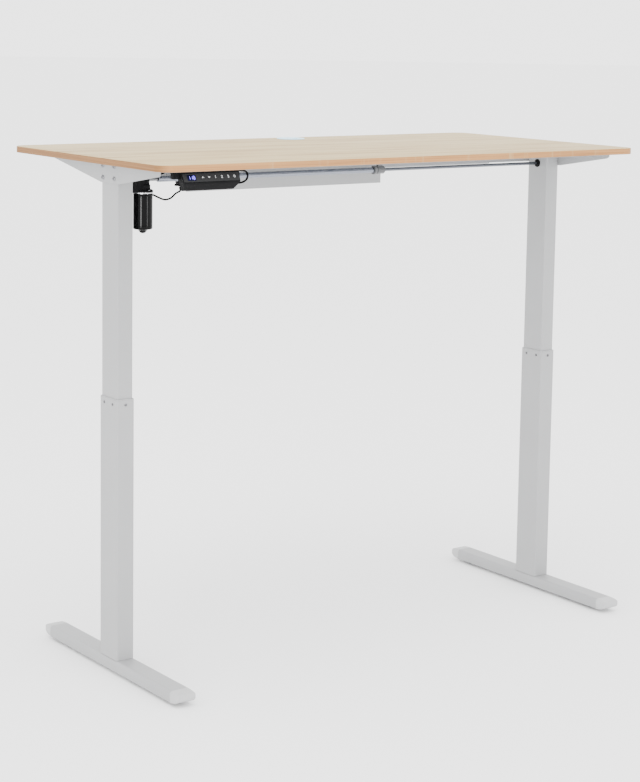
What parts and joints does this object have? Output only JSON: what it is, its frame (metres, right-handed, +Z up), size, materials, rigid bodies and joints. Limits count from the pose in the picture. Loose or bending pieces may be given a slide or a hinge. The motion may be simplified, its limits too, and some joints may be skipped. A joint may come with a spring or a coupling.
{
  "type": "height adjustable standing desk",
  "caption": "Sit-stand desk with an oak laminate top on two telescopic steel legs, lifted by a worm gear motor, cross shaft and lead screws, with a push button handset.",
  "frame": {"origin": "on the floor, in the middle of the desk's footprint, raised to its upper stop", "axes": "+X along the desk's width, to the user's right; -Y towards the user's side; +Z up"},
  "size_m": [1.4, 0.723, 1.2025],
  "materials": {
    "oak_laminate": "satin laminate with fine straight oak grain, taped edge",
    "powder_coat": "light grey powder coat, fine orange peel",
    "grey_plastic": "light grey moulded plastic",
    "grommet_plastic": "pale grey-blue moulded plastic",
    "coupler_grey": "mid grey moulded plastic",
    "black_plastic": "black moulded plastic, fine texture",
    "motor_black": "black semi-gloss enamel",
    "steel": "turned and drawn steel",
    "zinc": "bright zinc plating",
    "brass": "turned bronze",
    "panel_black": "dark satin panel with a display window",
    "button_grey": "dark satin key caps with white symbols",
    "rubber": "black rubber",
    "lead_sheath": "black cable sheath"
  },
  "bodies": {
    "left_base": {"left_foot": "powder_coat", "left_foot_cap_front": "powder_coat", "left_foot_cap_rear": "powder_coat", "left_outer_column": "powder_coat", "left_guide_sleeve": "grey_plastic", "left_nut_tube": "zinc", "left_lead_nut": "brass"},
    "right_base": {"right_foot": "powder_coat", "right_foot_cap_front": "powder_coat", "right_foot_cap_rear": "powder_coat", "right_outer_column": "powder_coat", "right_guide_sleeve": "grey_plastic", "right_nut_tube": "zinc", "right_lead_nut": "brass"},
    "top_frame": {"worktop": "oak_laminate", "grommet_ring": "grommet_plastic", "left_bracket": "powder_coat", "left_bracket_bolts": "zinc", "right_bracket": "powder_coat", "right_bracket_bolts": "zinc", "left_inner_column": "powder_coat", "right_inner_column": "powder_coat", "left_screw_bearing": "zinc", "right_screw_bearing": "zinc", "beam_sleeve": "powder_coat", "left_beam_rail": "powder_coat", "right_beam_rail": "powder_coat", "cable_tray": "powder_coat", "control_box": "black_plastic", "drive_gearbox": "black_plastic", "motor_flange": "steel", "motor_can": "motor_black", "shaft_bush": "black_plastic", "handset_body": "black_plastic", "handset_panel": "panel_black", "motor_power_lead": "lead_sheath", "motor_signal_lead": "lead_sheath", "handset_lead": "lead_sheath"},
    "cross_shaft": {"drive_pinion_shaft": "steel", "shaft_tube": "powder_coat", "shaft_coupler": "coupler_grey", "shaft_rod": "steel", "worm_wheel": "brass", "rod_pinion": "steel"},
    "left_screw": {"left_lead_screw": "steel", "left_screw_gear": "steel"},
    "right_screw": {"right_lead_screw": "steel", "right_screw_gear": "steel"},
    "worm_shaft": {"worm": "steel"},
    "grommet_lid": {"grommet_lid": "grommet_plastic"},
    "left_front_glide": {"left_glide_front": "rubber"},
    "left_rear_glide": {"left_glide_rear": "rubber"},
    "right_front_glide": {"right_glide_front": "rubber"},
    "right_rear_glide": {"right_glide_rear": "rubber"},
    "button_up": {"button_up": "button_grey"},
    "button_down": {"button_down": "button_grey"},
    "button_memory_1": {"button_memory_1": "button_grey"},
    "button_memory_2": {"button_memory_2": "button_grey"},
    "button_memory_3": {"button_memory_3": "button_grey"},
    "button_reminder": {"button_reminder": "button_grey"}
  },
  "joints": [
    {"name": "lift", "type": "slide", "parent": "left_base", "child": "top_frame", "axis": [0, 0, 1], "range_m": [-0.47, 0]},
    {"name": "right_leg", "type": "slide", "parent": "top_frame", "child": "right_base", "axis": [0, 0, 1], "range_m": [0, 0.47]},
    {"name": "shaft_spin", "type": "hinge", "parent": "top_frame", "child": "cross_shaft", "pos_m": [0, -0.0515, 1.1445], "axis": [1, 0, 0], "range_deg": [-21151, 0]},
    {"name": "left_screw_spin", "type": "hinge", "parent": "top_frame", "child": "left_screw", "pos_m": [-0.6435, -0.0515, 1], "axis": [0, 0, 1], "range_deg": [-21151, 0]},
    {"name": "right_screw_spin", "type": "hinge", "parent": "top_frame", "child": "right_screw", "pos_m": [0.6435, -0.0515, 1], "axis": [0, 0, 1], "range_deg": [0, 21151]},
    {"name": "worm_spin", "type": "hinge", "parent": "top_frame", "child": "worm_shaft", "pos_m": [-0.59, -0.0735, 1.14], "axis": [0, 0, 1], "range_deg": [-423010, 0]},
    {"name": "grommet_lid_lift", "type": "slide", "parent": "top_frame", "child": "grommet_lid", "axis": [0, 0, 1], "range_m": [0, 0.03]},
    {"name": "left_front_glide_level", "type": "slide", "parent": "left_base", "child": "left_front_glide", "axis": [0, 0, -1], "range_m": [0, 0.01]},
    {"name": "left_rear_glide_level", "type": "slide", "parent": "left_base", "child": "left_rear_glide", "axis": [0, 0, -1], "range_m": [0, 0.01]},
    {"name": "right_front_glide_level", "type": "slide", "parent": "right_base", "child": "right_front_glide", "axis": [0, 0, -1], "range_m": [0, 0.01]},
    {"name": "right_rear_glide_level", "type": "slide", "parent": "right_base", "child": "right_rear_glide", "axis": [0, 0, -1], "range_m": [0, 0.01]},
    {"name": "press_up", "type": "slide", "parent": "top_frame", "child": "button_up", "axis": [0, 0.8575, -0.5145], "range_m": [0, 0.0005], "stiffness_N_per_m": 300},
    {"name": "press_down", "type": "slide", "parent": "top_frame", "child": "button_down", "axis": [0, 0.8575, -0.5145], "range_m": [0, 0.0005], "stiffness_N_per_m": 300},
    {"name": "press_memory_1", "type": "slide", "parent": "top_frame", "child": "button_memory_1", "axis": [0, 0.8575, -0.5145], "range_m": [0, 0.0005], "stiffness_N_per_m": 300},
    {"name": "press_memory_2", "type": "slide", "parent": "top_frame", "child": "button_memory_2", "axis": [0, 0.8575, -0.5145], "range_m": [0, 0.0005], "stiffness_N_per_m": 300},
    {"name": "press_memory_3", "type": "slide", "parent": "top_frame", "child": "button_memory_3", "axis": [0, 0.8575, -0.5145], "range_m": [0, 0.0005], "stiffness_N_per_m": 300},
    {"name": "press_reminder", "type": "slide", "parent": "top_frame", "child": "button_reminder", "axis": [0, 0.8575, -0.5145], "range_m": [0, 0.0005], "stiffness_N_per_m": 300}
  ],
  "couplings": [
    {"joint": "right_leg", "follows": "lift", "ratio": -1},
    {"joint": "shaft_spin", "follows": "lift", "rad_per_m": 785.4},
    {"joint": "left_screw_spin", "follows": "lift", "rad_per_m": 785.4},
    {"joint": "right_screw_spin", "follows": "lift", "rad_per_m": -785.4},
    {"joint": "worm_spin", "follows": "lift", "rad_per_m": 15708}
  ]
}
